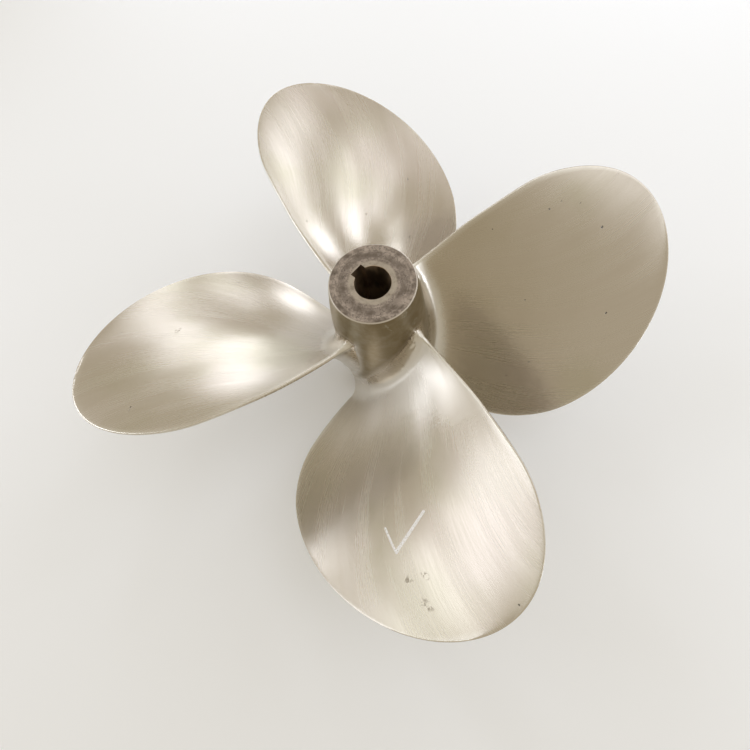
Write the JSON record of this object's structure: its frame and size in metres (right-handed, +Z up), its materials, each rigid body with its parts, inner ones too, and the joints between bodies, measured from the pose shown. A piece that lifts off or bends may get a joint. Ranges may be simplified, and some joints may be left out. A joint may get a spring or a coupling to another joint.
{
  "type": "ship propeller",
  "caption": "Fixed-pitch ship propeller cast in one piece, with broad raked blades on a tapered hub bored and keyed for a shaft.",
  "frame": {"origin": "middle of the hub's forward end face, on the shaft axis, at the lowest level of the casting", "axes": "+Z up along the shaft axis towards the hub's narrow aft end; +X along the line the first blade is generated from, the other blades following every quarter turn"},
  "size_m": [1.183, 1.183, 0.484],
  "materials": {
    "cast_bronze": "pale copper alloy, ground and brushed along the blades, dull oxide on the hub's end face"
  },
  "bodies": {
    "root": {"propeller": "cast_bronze"}
  },
  "joints": []
}
